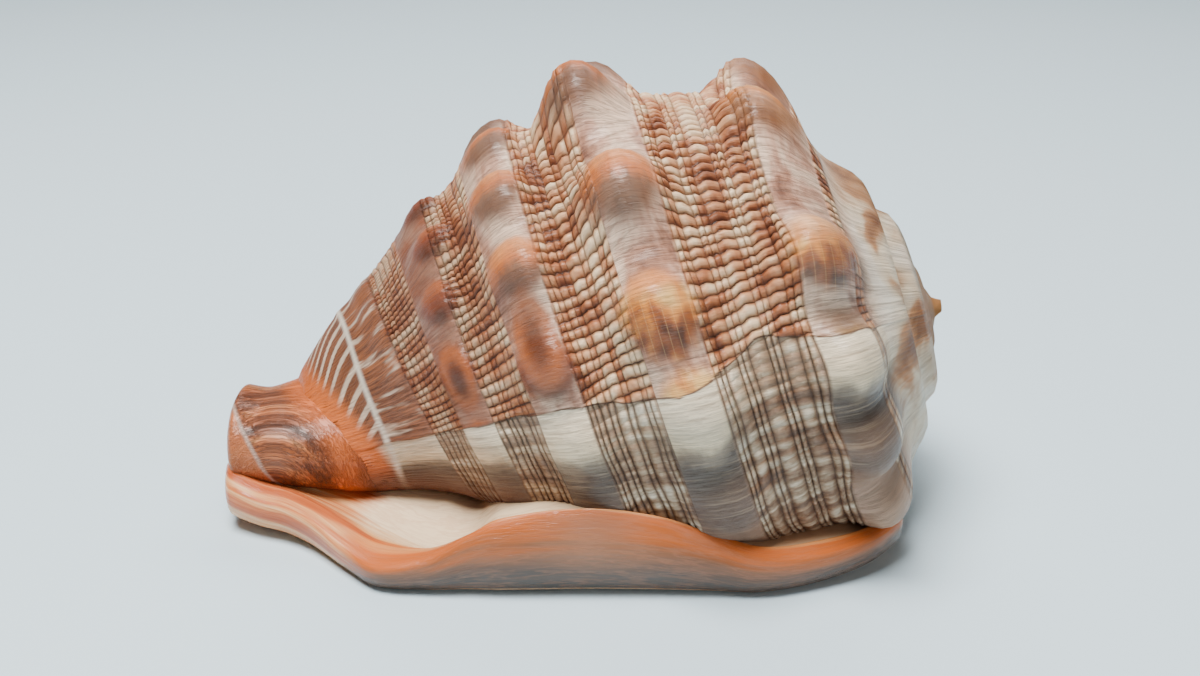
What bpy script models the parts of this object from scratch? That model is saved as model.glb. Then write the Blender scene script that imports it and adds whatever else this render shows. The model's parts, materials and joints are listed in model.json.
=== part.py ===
"""A bullmouth helmet shell, resting on its mouth.

The shell is one solid that grew as one piece. Its body whorl and low spire are a ball whose rings are
moved onto a growing spiral, with the blunt knobs raised from it. The thick shield and the outer lip are
lofted along the shell under the body, the siphonal canal is lofted at the narrow end, and the mouth is
cut out between shield and lip. Frame: +X towards the spire, -Y towards the shield, +Z up, origin on the
resting plane under the middle of the shell.
"""

import math

import bmesh
import bpy
from mathutils import Matrix, Vector

MM = 0.001

# Middle of the shell on the resting plane, which becomes the origin
MIDDLE = Vector((1.25, 1.35, 0.0))

# Coiling axis and growth
APEX = Vector((74.0, 0.0, 40.0))
AXIS_TILT = math.radians(14.0)
GROWTH_PER_TURN = 1.58
AXIS = Vector((math.cos(AXIS_TILT), 0.0, math.sin(AXIS_TILT)))
ACROSS = Vector((-math.sin(AXIS_TILT), 0.0, math.cos(AXIS_TILT)))
NEAR = Vector((0.0, -1.0, 0.0))
REFERENCE_ANGLE = 180.0
LIP_START = 190.0
SEAM_ANGLE = 330.0

# Meridian of the body at the top of the shell: distance along the axis, radius
MERIDIAN = (
    (-1.5, 0.0),
    (-0.6, 3.0),
    (1.6, 10.5),
    (5.0, 21.5),
    (10.0, 30.5),
    (15.0, 37.4),
    (20.5, 44.4),
    (28.0, 50.8),
    (38.0, 54.5),
    (50.0, 56.5),
    (62.0, 56.5),
    (76.0, 54.0),
    (88.0, 49.0),
    (102.0, 41.0),
    (113.0, 32.5),
    (124.0, 24.5),
    (133.0, 16.5),
    (140.0, 8.0),
    (143.0, 0.0),
)
FRONT_START = 118.0
BODY_COLUMNS = 72
BODY_RINGS = 44
FINE_STEPS = 600

# Raised spiral belts that carry the knobs: place along the meridian, height, half length
BELTS = (
    (24.0, 1.6, 8.5),
    (57.0, 2.0, 9.0),
    (82.0, 1.5, 7.5),
    (101.0, 0.8, 4.5),
)

# Knobs of each row: half length, half width in degrees, lean to the spire, then angle, place and height
KNOB_ROWS = (
    (7.8, 9.5, 0.25, (
        (34, 22.0, 6.5), (57, 22.0, 7.5), (82, 22.5, 8.5), (103, 22.5, 9.0), (128, 24.0, 8.5),
        (169, 27.0, 6.0), (203, 25.5, 8.0), (235, 24.0, 8.5), (264, 23.0, 8.0),
    )),
    (8.6, 9.2, 0.05, (
        (78, 55.0, 3.0), (102, 55.0, 7.0), (121, 57.0, 7.0), (147, 57.5, 8.5), (177, 61.5, 10.8),
        (207, 58.5, 9.0), (237, 57.5, 8.5), (265, 56.5, 8.0),
    )),
    (6.8, 7.8, 0.00, (
        (80, 81.0, 2.0), (99, 81.4, 3.6), (117, 81.8, 4.2), (139, 81.6, 5.0), (159, 81.9, 5.0),
        (179, 81.0, 5.0), (201, 81.0, 5.0), (223, 81.5, 5.0), (246, 82.0, 5.0), (267, 82.0, 4.5),
    )),
    (4.6, 7.2, 0.00, (
        (103, 101.0, 1.8), (123, 101.0, 2.4), (143, 99.5, 2.6), (163, 97.5, 2.8), (184, 98.0, 2.8),
        (206, 99.0, 2.6), (228, 100.0, 2.4), (250, 101.0, 2.2),
    )),
)

KNOB_FULLNESS = 1.5

# Steps of the earlier whorls on the spire: where they fade out and where the smooth tip ends
SHOULDER_REACH = 50.0
STEP_FADE_START = 27.5
STEP_HEIGHT = 1.2
TIP_SMOOTH = 2.0
TIP_END = 14.0

# Underside of the body, above the resting plane
BELLY_LEVEL = 4.0
BELLY_SOFTNESS = 9.0

# Shield and lip, along the shell: x, near rim y and z, crease y and z, far rim y and z, rim thickness
PLATE_STATIONS = (
    (-73.0, -22.0, 3.2, -14.0, 12.0, 4.0, 6.5, 8.0),
    (-69.0, -25.0, 2.4, -15.0, 11.0, 9.0, 5.5, 8.0),
    (-64.0, -27.5, 1.8, -16.0, 9.0, 17.0, 4.5, 7.5),
    (-58.0, -30.0, 1.4, -17.0, 7.5, 22.0, 3.0, 7.5),
    (-52.0, -34.5, 0.9, -19.0, 7.0, 28.5, 1.8, 7.5),
    (-45.0, -42.5, 0.5, -23.0, 7.5, 35.5, 1.0, 8.0),
    (-38.0, -49.5, 0.0, -30.0, 9.5, 42.0, 0.0, 8.5),
    (-28.0, -51.0, 0.0, -39.0, 12.5, 49.5, 0.0, 9.5),
    (-14.0, -50.0, 0.0, -43.5, 14.5, 56.5, 0.0, 10.0),
    (2.0, -50.0, 0.0, -45.5, 15.5, 60.5, 0.0, 11.0),
    (16.0, -50.5, 0.0, -46.5, 15.0, 61.0, 0.0, 11.0),
    (26.0, -52.0, 0.0, -46.5, 12.5, 60.0, 0.0, 10.5),
    (36.0, -52.5, 0.0, -45.0, 10.5, 56.0, 0.0, 10.0),
    (47.0, -49.0, 0.5, -41.0, 9.5, 48.0, 0.5, 9.0),
    (57.0, -44.0, 2.0, -36.0, 9.5, 37.0, 2.5, 8.0),
    (63.5, -38.0, 4.2, -30.0, 9.5, 26.0, 4.8, 6.4),
    (66.5, -33.0, 6.0, -27.0, 9.5, 18.0, 6.5, 4.2),
)

# The far shoulder of the lip rises by this share of the thickness, or of the width where it is narrow
SHOULDER_BY_THICKNESS = 2.5
SHOULDER_BY_WIDTH = 0.32

# Mouth slit, along the shell: x, middle y, half width, height of the hollow above it
MOUTH_STATIONS = (
    (-80.0, -5.0, 2.6, 10.0),
    (-68.0, -3.0, 3.2, 11.0),
    (-56.0, -0.5, 3.8, 14.0),
    (-44.0, 2.5, 4.6, 19.0),
    (-28.0, 7.0, 5.6, 28.0),
    (-10.0, 9.5, 6.0, 34.0),
    (8.0, 11.0, 6.0, 35.0),
    (26.0, 11.5, 5.5, 30.0),
    (41.0, 11.0, 4.5, 20.0),
    (50.0, 9.0, 3.0, 11.0),
)
HOLLOW_HEIGHT = 35.0
HOLLOW_LEAN = 8.0
HOLLOW_HALF_WIDTH = 12.0
SLIT_BELOW = 3.0
SLIT_FLARE = 2.0
SLIT_MIDDLE = 4.0
SLIT_TOP = 9.0

# Teeth of the lip and finer folds of the shield: count, half thickness, half reach, half height
TOOTH_ROWS = (
    (1.0, 21, 1.6, 4.4, 3.6),
    (-1.0, 19, 1.3, 6.5, 3.0),
)
TEETH_START = -50.0
TEETH_END = 38.0
TOOTH_BITE = 1.5
TOOTH_MIDDLE_HEIGHT = 3.6

# Siphonal canal, along its middle line: x, y, z, half width, half height
CANAL_STATIONS = (
    (-35.0, -2.0, 20.0, 17.0, 12.0),
    (-45.0, -3.0, 17.5, 17.0, 11.0),
    (-53.0, -5.0, 15.5, 17.0, 9.8),
    (-61.0, -6.0, 14.5, 16.0, 8.8),
    (-68.0, -6.5, 14.5, 14.5, 7.8),
    (-72.4, -7.0, 14.8, 13.6, 7.1),
)
CANAL_POINTS = 18
CANAL_SQUARENESS = 0.85

# Edges of the mouth that are sharper than this stay crisp
SHARP_EDGE = math.radians(65.0)


def smooth_step(low, high, value):
    """Zero below low, one above high and an even S between them."""
    share = min(max((value - low) / (high - low), 0.0), 1.0)
    return share * share * (3.0 - 2.0 * share)


def curve_through(rows, at, place=0):
    """All columns of rows at one place, on a smooth curve through the rows."""
    last = len(rows) - 1
    at = min(max(at, rows[0][place]), rows[last][place])
    index = max(i for i in range(last) if rows[i][place] <= at)
    before = rows[max(index - 1, 0)]
    start = rows[index]
    end = rows[index + 1]
    after = rows[min(index + 2, last)]
    span = end[place] - start[place]
    share = (at - start[place]) / span
    values = []
    for a, b, c, d in zip(before, start, end, after):
        leave = (c - a) * span / max(end[place] - before[place], 1e-9)
        arrive = (d - b) * span / max(after[place] - start[place], 1e-9)
        rise = share * share * (3.0 - 2.0 * share)
        values.append(
            b + (c - b) * rise
            + leave * share * (1.0 - share) ** 2
            - arrive * share * share * (1.0 - share)
        )
    return values


def growth(angle):
    """Size of the shell at a spiral angle, easing back under the body where the mouth is."""
    here = GROWTH_PER_TURN ** ((angle - REFERENCE_ANGLE) / 360.0)
    turn_before = here / GROWTH_PER_TURN
    return here + (turn_before - here) * smooth_step(LIP_START, SEAM_ANGLE, angle)


def knob_rise(angle, along):
    """Height of the knobs and belts at a place on the whorl, and their lean towards the spire."""
    rise = 0.0
    lean = 0.0
    for place, height, half_length in BELTS:
        rise += height * math.exp(-(((along - place) / half_length) ** 4))
    for half_length, half_width, row_lean, knobs in KNOB_ROWS:
        for knob_angle, place, height in knobs:
            across = (angle - knob_angle) / half_width
            down = (along - place) / half_length
            bump = height * math.exp(-((across * across + down * down) ** KNOB_FULLNESS))
            rise += bump
            lean += bump * row_lean
    return rise, lean


def spire_relief(angle, along, radius):
    """The steps of the earlier whorls, a wave that winds round the spire and fades at the shoulder."""
    reach = math.hypot(along, radius)
    grown = max(reach, 1.0) * growth(angle) / SHOULDER_REACH
    turns = math.log(grown) / math.log(GROWTH_PER_TURN) - (angle - REFERENCE_ANGLE) / 360.0
    fade = 1.0 - smooth_step(STEP_FADE_START, SHOULDER_REACH, reach)
    fade *= smooth_step(TIP_SMOOTH, TIP_END, radius)
    return STEP_HEIGHT * fade * math.cos(2.0 * math.pi * turns)


def whorl_point(angle, along):
    """A point of the body's surface."""
    radius = curve_through(MERIDIAN, along)[1]
    rise, lean = knob_rise(angle, along)
    lean += spire_relief(angle, along, radius)
    size = growth(angle)
    size += (1.0 - size) * smooth_step(FRONT_START, MERIDIAN[-1][0], along)
    turn = math.radians(angle)
    outwards = -math.cos(turn) * ACROSS + math.sin(turn) * NEAR
    point = APEX + size * ((lean - along) * AXIS + (radius + rise) * outwards)
    if point.z < BELLY_LEVEL + BELLY_SOFTNESS:
        sunk = (point.z - BELLY_LEVEL - BELLY_SOFTNESS) / BELLY_SOFTNESS
        point.z = BELLY_LEVEL + BELLY_SOFTNESS * math.exp(sunk)
    return point


def meridian_places(count):
    """Places along the meridian, evenly spaced over the length of its curve."""
    first = MERIDIAN[0][0]
    reach = MERIDIAN[-1][0] - first
    fine = [first + reach * i / FINE_STEPS for i in range(FINE_STEPS + 1)]
    radii = [curve_through(MERIDIAN, along)[1] for along in fine]
    lengths = [0.0]
    for i in range(FINE_STEPS):
        step = math.hypot(fine[i + 1] - fine[i], radii[i + 1] - radii[i])
        lengths.append(lengths[-1] + step)
    places = []
    index = 0
    for k in range(count + 1):
        wanted = lengths[-1] * k / count
        while index < FINE_STEPS - 1 and lengths[index + 1] < wanted:
            index += 1
        share = (wanted - lengths[index]) / (lengths[index + 1] - lengths[index])
        places.append(fine[index] + share * (fine[index + 1] - fine[index]))
    return places


def new_object(name, bm):
    """A mesh object facing outwards, in metres, from a bmesh in millimetres."""
    bmesh.ops.recalc_face_normals(bm, faces=bm.faces)
    if bm.calc_volume(signed=True) < 0.0:
        bmesh.ops.reverse_faces(bm, faces=bm.faces)
    bmesh.ops.translate(bm, vec=-MIDDLE, verts=bm.verts)
    bmesh.ops.scale(bm, vec=(MM, MM, MM), verts=bm.verts)
    mesh = bpy.data.meshes.new(name)
    bm.to_mesh(mesh)
    bm.free()
    obj = bpy.data.objects.new(name, mesh)
    bpy.context.scene.collection.objects.link(obj)
    return obj


def whorl():
    """The body and spire: a ball's rings moved onto the spiral."""
    bm = bmesh.new()
    bmesh.ops.create_uvsphere(bm, u_segments=BODY_COLUMNS, v_segments=BODY_RINGS, radius=1.0)
    places = meridian_places(BODY_RINGS)
    for vert in bm.verts:
        ring = round(math.acos(max(-1.0, min(1.0, vert.co.z))) / math.pi * BODY_RINGS)
        angle = math.degrees(math.atan2(vert.co.y, vert.co.x))
        angle = (angle + 360.0 - SEAM_ANGLE) % 360.0 + SEAM_ANGLE - 360.0
        vert.co = whorl_point(angle, places[ring])
    return new_object("whorl", bm)


def loft(name, sections):
    """A closed solid through sections of equally many points."""
    bm = bmesh.new()
    loops = []
    for section in sections:
        verts = [bm.verts.new(point) for point in section]
        loops.append([bm.edges.new((verts[i - 1], verts[i])) for i in range(len(verts))])
    for i in range(len(loops) - 1):
        bmesh.ops.bridge_loops(bm, edges=loops[i] + loops[i + 1])
    bmesh.ops.contextual_create(bm, geom=loops[0])
    bmesh.ops.contextual_create(bm, geom=loops[-1])
    bmesh.ops.triangulate(bm, faces=[face for face in bm.faces if len(face.verts) > 4])
    return new_object(name, bm)


def plate_section(row):
    """Cross-section of shield and lip at one place along the shell."""
    x, near_y, near_z, crease_y, crease_z, far_y, far_z, thick = row
    middle = 0.45 * near_y + 0.55 * far_y
    roof = crease_z + 0.25 * thick
    sole = 0.5 * (near_z + far_z) + 0.2 * thick
    shoulder = far_z + min(SHOULDER_BY_THICKNESS * thick, SHOULDER_BY_WIDTH * (far_y - crease_y))
    outline = (
        (near_y + 0.20 * thick, near_z + 0.10 * thick),
        (near_y, near_z + 0.50 * thick),
        (near_y + 0.10 * thick, near_z + 0.90 * thick),
        (0.5 * (near_y + crease_y), 0.5 * (near_z + crease_z) + 0.60 * thick),
        (crease_y, crease_z),
        (0.5 * (crease_y + middle), roof),
        (middle, roof),
        (0.5 * (far_y + middle), shoulder),
        (max(0.3 * middle + 0.7 * far_y, far_y - 0.90 * thick), min(0.98 * shoulder, far_z + 1.40 * thick)),
        (far_y - 0.25 * thick, min(0.92 * shoulder, far_z + 1.05 * thick)),
        (far_y, far_z + 0.55 * thick),
        (far_y - 0.20 * thick, far_z + 0.12 * thick),
        (far_y - 0.60 * thick, far_z),
        (min(0.35 * middle + 0.65 * far_y, far_y - thick), far_z),
        (0.80 * middle + 0.20 * far_y, sole),
        (0.80 * middle + 0.20 * near_y, sole),
        (max(0.35 * middle + 0.65 * near_y, near_y + thick), near_z),
        (near_y + 0.60 * thick, near_z),
    )
    return [Vector((x, y, z)) for y, z in outline]


def shield_and_lip():
    """The thick rim that the shell rests on, all round the mouth."""
    return loft("shield_and_lip", [plate_section(row) for row in PLATE_STATIONS])


def ring_points(centre, half_width, half_height):
    """Points of an upright rounded section across the shell."""
    points = []
    for i in range(CANAL_POINTS):
        turn = 2.0 * math.pi * i / CANAL_POINTS
        side = math.copysign(abs(math.cos(turn)) ** CANAL_SQUARENESS, math.cos(turn))
        lift = math.copysign(abs(math.sin(turn)) ** CANAL_SQUARENESS, math.sin(turn))
        points.append(centre + Vector((0.0, half_width * side, half_height * lift)))
    return points


def canal():
    """The recurved siphonal canal with its bulging outer side."""
    sections = []
    for x, y, z, half_width, half_height in CANAL_STATIONS:
        sections.append(ring_points(Vector((x, y, z)), half_width, half_height))
    return loft("canal", sections)


def mouth_section(row):
    """Cross-section of the slit and of the hollow above it, which leans into the whorl."""
    x, middle, half_width, height = row
    swell = HOLLOW_HALF_WIDTH * height / HOLLOW_HEIGHT
    lean = HOLLOW_LEAN * height / HOLLOW_HEIGHT
    outline = (
        (middle - half_width - SLIT_FLARE, -SLIT_BELOW),
        (middle + half_width + SLIT_FLARE, -SLIT_BELOW),
        (middle + half_width, SLIT_MIDDLE),
        (middle + half_width + 0.5 * SLIT_FLARE, SLIT_TOP),
        (middle + lean + 0.8 * swell, SLIT_TOP + 0.3 * height),
        (middle + lean + swell, SLIT_TOP + 0.6 * height),
        (middle + lean + 0.5 * swell, SLIT_TOP + 0.9 * height),
        (middle + lean - 0.5 * swell, SLIT_TOP + 0.9 * height),
        (middle + 0.5 * lean - 0.8 * swell, SLIT_TOP + 0.6 * height),
        (middle - half_width, SLIT_TOP + 0.2 * height),
        (middle - half_width, SLIT_MIDDLE),
    )
    return [Vector((x, y, z)) for y, z in outline]


def mouth():
    """Cutter of the mouth."""
    cutter = loft("mouth_cutter", [mouth_section(row) for row in MOUTH_STATIONS])
    cutter.hide_render = True
    cutter.display_type = "WIRE"
    return cutter


def teeth():
    """The teeth along the lip and the folds along the shield, small balls stretched across the slit's edge."""
    bm = bmesh.new()
    for side, count, half_thickness, half_reach, half_height in TOOTH_ROWS:
        for i in range(count):
            x = TEETH_START + (TEETH_END - TEETH_START) * (i + 0.5) / count
            middle, half_width = curve_through(MOUTH_STATIONS, x)[1:3]
            y = middle + side * (half_width + half_reach - TOOTH_BITE)
            place = Matrix.Translation((x, y, TOOTH_MIDDLE_HEIGHT))
            stretch = Matrix.Diagonal((half_thickness, half_reach, half_height, 1.0))
            bmesh.ops.create_uvsphere(
                bm, u_segments=6, v_segments=4, radius=1.0, matrix=place @ stretch
            )
    return new_object("teeth", bm)


def boolean(obj, other, operation):
    """Joins or cuts one object with another and hides the other."""
    modifier = obj.modifiers.new(other.name, "BOOLEAN")
    modifier.operation = operation
    modifier.solver = "EXACT"
    modifier.object = other
    other.hide_render = True
    other.display_type = "WIRE"


def shell_material():
    """Semi-gloss shell, reddish tan."""
    material = bpy.data.materials.new("helmet_shell")
    material.use_nodes = True
    shader = material.node_tree.nodes["Principled BSDF"]
    shader.inputs["Base Color"].default_value = (0.55, 0.32, 0.20, 1.0)
    shader.inputs["Roughness"].default_value = 0.32
    shader.inputs["Metallic"].default_value = 0.0
    return material


def main():
    for obj in list(bpy.data.objects):
        bpy.data.objects.remove(obj, do_unlink=True)
    shell = whorl()
    shell.name = "helmet_shell"
    boolean(shell, shield_and_lip(), "UNION")
    boolean(shell, canal(), "UNION")
    boolean(shell, mouth(), "DIFFERENCE")
    boolean(shell, teeth(), "UNION")
    shell.data.materials.append(shell_material())
    shell.data.shade_smooth()
    shell.data.set_sharp_from_angle(angle=SHARP_EDGE)


main()
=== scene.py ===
# %% [markdown]
# # A bullmouth helmet shell
#
# The shell is the house of a large sea snail. It lies on its mouth, with the low spire to the right, the
# recurved canal to the left and the thick orange shield towards the viewer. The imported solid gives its
# size and its place; this script dresses it with a finely modelled shell of the same form.

import json
import math

import bmesh
import bpy
import numpy as np
from mathutils import Matrix, Vector
from mathutils.bvhtree import BVHTree

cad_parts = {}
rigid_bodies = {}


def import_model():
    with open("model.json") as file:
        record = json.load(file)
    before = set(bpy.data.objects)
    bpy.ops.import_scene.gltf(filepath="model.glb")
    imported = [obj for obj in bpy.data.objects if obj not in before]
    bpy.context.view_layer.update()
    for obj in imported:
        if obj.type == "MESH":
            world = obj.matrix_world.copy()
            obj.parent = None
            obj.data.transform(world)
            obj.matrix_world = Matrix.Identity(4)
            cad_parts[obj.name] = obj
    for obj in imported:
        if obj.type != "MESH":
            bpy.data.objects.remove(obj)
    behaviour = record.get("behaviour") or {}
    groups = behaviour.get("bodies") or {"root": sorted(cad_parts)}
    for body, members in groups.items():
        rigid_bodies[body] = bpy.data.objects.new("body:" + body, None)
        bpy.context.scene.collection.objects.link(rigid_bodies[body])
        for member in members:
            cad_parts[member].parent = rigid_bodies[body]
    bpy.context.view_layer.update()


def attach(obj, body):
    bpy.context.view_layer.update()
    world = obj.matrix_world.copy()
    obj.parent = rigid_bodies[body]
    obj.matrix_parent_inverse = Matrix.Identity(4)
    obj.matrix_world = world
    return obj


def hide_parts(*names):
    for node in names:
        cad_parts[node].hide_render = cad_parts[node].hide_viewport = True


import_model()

# %% [markdown]
# ## Camera
#
# A camera is an object whose lens looks along its own -Z. Here it stands in front of the shield and looks
# down by 20 degrees from about a third of a metre, which is what makes the near knobs look large. Setting
# it first lets every later step be judged in the same picture.

# %% Camera
MM = 0.001
MIDDLE = np.array((1.25, 1.35, 0.0))
LOOK_AT = Vector((5.0, 0.0, 33.6)) - Vector(MIDDLE)
CAMERA_DISTANCE = 352.0
CAMERA_HEIGHT_ANGLE = math.radians(20.0)

camera = bpy.data.objects.new("camera", bpy.data.cameras.new("camera"))
bpy.context.scene.collection.objects.link(camera)
camera.data.lens = 50.0
camera.data.sensor_width = 36.0
camera.data.clip_start = 0.01
towards_camera = Vector((0.0, -math.cos(CAMERA_HEIGHT_ANGLE), math.sin(CAMERA_HEIGHT_ANGLE)))
camera.location = (LOOK_AT + CAMERA_DISTANCE * towards_camera) * MM
camera.rotation_euler = towards_camera.to_track_quat("Z", "Y").to_euler()
bpy.context.scene.camera = camera
print("camera at", [round(value, 3) for value in camera.location])

# %% [markdown]
# ## Floor and light
#
# A glossy shell shows what stands round it, so the light comes from large soft panels, and the floor is a
# pale matt blue. The strongest panel hangs high above the shell, a little to the left, and models the
# knobs. A weak one in front on the right opens the shadows, and one behind draws the upper edge.


# %% Floor
def link(obj):
    """Puts a new object into the scene."""
    bpy.context.scene.collection.objects.link(obj)
    return obj


def plain_material(name, colour, roughness):
    """A material with one colour, for what isn't part of the shell."""
    material = bpy.data.materials.new(name)
    material.use_nodes = True
    shader = material.node_tree.nodes["Principled BSDF"]
    shader.inputs["Base Color"].default_value = (*colour, 1.0)
    shader.inputs["Roughness"].default_value = roughness
    return material


FLOOR_HALF = 3.0
FLOOR_COLOUR = (0.62, 0.78, 0.88)

floor_bm = bmesh.new()
bmesh.ops.create_grid(floor_bm, x_segments=1, y_segments=1, size=FLOOR_HALF)
floor_mesh = bpy.data.meshes.new("floor")
floor_bm.to_mesh(floor_mesh)
floor_bm.free()
floor = link(bpy.data.objects.new("floor", floor_mesh))
floor.data.materials.append(plain_material("pale_floor", FLOOR_COLOUR, 0.6))
print("floor", 2.0 * FLOOR_HALF, "m wide")


# %% Light
def panel(name, place, size, power, colour):
    """A soft light panel that faces the shell."""
    light = bpy.data.lights.new(name, "AREA")
    light.shape = "RECTANGLE"
    light.size = size[0]
    light.size_y = size[1]
    light.energy = power
    light.color = colour
    obj = link(bpy.data.objects.new(name, light))
    obj.location = place
    obj.rotation_euler = Vector(place).to_track_quat("Z", "Y").to_euler()
    return obj


WARM_WHITE = (1.0, 0.97, 0.93)
SKY_COLOUR = (0.74, 0.84, 0.92)
SKY_STRENGTH = 0.05

panel("key_panel", (-0.20, -0.20, 1.10), (0.6, 0.5), 30.0, WARM_WHITE)
panel("side_panel", (0.5, -1.0, 0.5), (0.6, 0.6), 2.5, WARM_WHITE)
panel("back_panel", (0.1, 0.8, 0.8), (0.9, 0.4), 6.0, WARM_WHITE)

world = bpy.data.worlds.new("studio")
bpy.context.scene.world = world
world.use_nodes = True
world.node_tree.nodes["Background"].inputs["Color"].default_value = (*SKY_COLOUR, 1.0)
world.node_tree.nodes["Background"].inputs["Strength"].default_value = SKY_STRENGTH

# %% [markdown]
# ## The spiral
#
# A snail builds its shell as one tube that winds round an axis and grows at a steady rate: each turn is the
# one before it, made larger by the same factor. So every point of the outside can be named by two numbers.
# The turn is the angle round the axis, in degrees, and grows as the shell grew. The place is the distance
# from the tip along the axis, in millimetres. Everything on the shell follows these two: the knobs sit in
# rows of equal place, and the riblets run across them at equal turn.

# %% Values of the spiral
APEX = np.array((74.0, 0.0, 40.0))
AXIS_TILT = math.radians(14.0)
AXIS = np.array((math.cos(AXIS_TILT), 0.0, math.sin(AXIS_TILT)))
ACROSS = np.array((-math.sin(AXIS_TILT), 0.0, math.cos(AXIS_TILT)))
NEAR = np.array((0.0, -1.0, 0.0))
GROWTH_PER_TURN = 1.58
REFERENCE_TURN = 180.0
LIP_START = 190.0
SEAM_TURN = 330.0
FRONT_START = 118.0

# Outline of the body at the top of the shell: place, radius
OUTLINE = (
    (-3.4, 0.0), (-3.1, 1.1), (-2.2, 1.7), (-1.2, 2.0), (-0.5, 3.6), (1.6, 10.5), (5.0, 21.5), (10.0, 30.5),
    (15.0, 37.4), (20.5, 44.4),
    (28.0, 50.8), (38.0, 54.5), (50.0, 56.5), (62.0, 56.5), (76.0, 54.0), (88.0, 49.0), (102.0, 41.0),
    (113.0, 32.5), (124.0, 24.5), (133.0, 16.5), (140.0, 8.0), (143.0, 0.0),
)


# %% Curves through rows of values
def smooth_step(low, high, value):
    """Zero below low, one above high and an even S between them."""
    share = np.clip((value - low) / (high - low), 0.0, 1.0)
    return share * share * (3.0 - 2.0 * share)


def curve_through(rows, at, column=1):
    """One column of rows at many places, on a smooth curve through the rows."""
    rows = np.array(rows, float)
    x = rows[:, 0]
    y = rows[:, column]
    before = np.maximum(np.arange(len(x)) - 1, 0)
    after = np.minimum(np.arange(len(x)) + 1, len(x) - 1)
    slope = (y[after] - y[before]) / (x[after] - x[before])
    at = np.clip(at, x[0], x[-1])
    i = np.clip(np.searchsorted(x, at, side="right") - 1, 0, len(x) - 2)
    span = x[i + 1] - x[i]
    s = (at - x[i]) / span
    rise = y[i] + (y[i + 1] - y[i]) * s * s * (3.0 - 2.0 * s)
    return rise + span * (slope[i] * s * (1.0 - s) ** 2 - slope[i + 1] * s * s * (1.0 - s))


def growth(turn):
    """Size of the shell at a turn, easing back under the body where the mouth is."""
    here = GROWTH_PER_TURN ** ((turn - REFERENCE_TURN) / 360.0)
    return here + (here / GROWTH_PER_TURN - here) * smooth_step(LIP_START, SEAM_TURN, turn)


print("size one turn back:", round(float(growth(-180.0)), 3))

# %% [markdown]
# ## Knobs, belts and steps
#
# Rows of blunt knobs stand on low belts that run round the whorl. Each knob is a smooth bump whose height
# falls off with the distance from its middle; a power above one makes its top flat and its sides steep, as
# on the real shell. On the spire the earlier whorls show as steps that wind inwards.

# %% Values of the knobs
BELTS = ((24.0, 1.6, 8.5), (57.0, 2.0, 9.0), (82.0, 1.5, 7.5), (101.0, 0.8, 4.5))

# Rows of knobs: half length, half width in degrees, lean to the spire, then turn, place and height
KNOB_ROWS = (
    (7.8, 9.5, 0.25, (
        (34, 22.0, 6.5), (57, 22.0, 7.5), (82, 22.5, 8.5), (103, 22.5, 9.0), (128, 24.0, 8.5),
        (169, 27.0, 6.0), (203, 25.5, 8.0), (235, 24.0, 8.5), (264, 23.0, 8.0),
    )),
    (8.6, 9.2, 0.05, (
        (78, 55.0, 3.0), (102, 55.0, 7.0), (121, 57.0, 7.0), (147, 57.5, 8.5), (177, 61.5, 10.8),
        (207, 58.5, 9.0), (237, 57.5, 8.5), (265, 56.5, 8.0),
    )),
    (6.8, 7.8, 0.00, (
        (80, 81.0, 2.0), (99, 81.4, 3.6), (117, 81.8, 4.2), (139, 81.6, 5.0), (159, 81.9, 5.0),
        (179, 81.0, 5.0), (201, 81.0, 5.0), (223, 81.5, 5.0), (246, 82.0, 5.0), (267, 82.0, 4.5),
    )),
    (4.6, 7.2, 0.00, (
        (103, 101.0, 1.8), (123, 101.0, 2.4), (143, 99.5, 2.6), (163, 97.5, 2.8), (184, 98.0, 2.8),
        (206, 99.0, 2.6), (228, 100.0, 2.4), (250, 101.0, 2.2),
    )),
    (2.6, 6.0, 0.00, (
        (133, 114.0, 1.0), (150, 114.2, 1.0), (166, 114.5, 1.2), (184, 114.5, 1.2), (204, 114.5, 1.2),
    )),
)
KNOB_FULLNESS = 1.5
SHOULDER_REACH = 50.0
STEP_FADE_START = 27.5
STEP_HEIGHT = 1.6


# %% Height of the knobs
def knob_field(turn, place):
    """Height and lean of knobs and belts, the share of a knob's own height, and the side of it."""
    rise = np.zeros_like(turn)
    lean = np.zeros_like(turn)
    top = np.zeros_like(turn)
    side = np.zeros_like(turn)
    for centre, height, half_length in BELTS:
        rise += height * np.exp(-(((place - centre) / half_length) ** 4))
    for half_length, half_width, row_lean, knobs in KNOB_ROWS:
        for knob_turn, centre, height in knobs:
            across = (turn - knob_turn) / half_width
            down = (place - centre) / half_length
            bump = np.exp(-((across * across + down * down) ** KNOB_FULLNESS))
            rise += height * bump
            lean += height * bump * row_lean
            top = np.maximum(top, bump)
            side += bump * across
    return rise, lean, top, side


def spire_relief(turn, place, radius):
    """The steps of the earlier whorls, fading out at the shoulder."""
    reach = np.hypot(place, radius)
    grown = np.maximum(reach, 1.0) * growth(turn) / SHOULDER_REACH
    turns = np.log(grown) / math.log(GROWTH_PER_TURN) - (turn - REFERENCE_TURN) / 360.0
    fade = (1.0 - smooth_step(STEP_FADE_START, SHOULDER_REACH, reach)) * smooth_step(2.0, 14.0, radius)
    return STEP_HEIGHT * fade * np.cos(2.0 * np.pi * turns)


print("knobs:", sum(len(row[3]) for row in KNOB_ROWS))

# %% [markdown]
# ## Cords, riblets and growth marks
#
# Between the knob rows lie bands of spiral cords. Fine riblets cross them, so that each crossing stands up
# as a bead. Both are periodic, so the script gives each point two running counts, of cords and of riblets:
# a whole number falls in a groove, and half way to the next is a crest. The counts are kept as attributes
# of the mesh, so that the colours can later be laid into the very same grooves.

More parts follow.
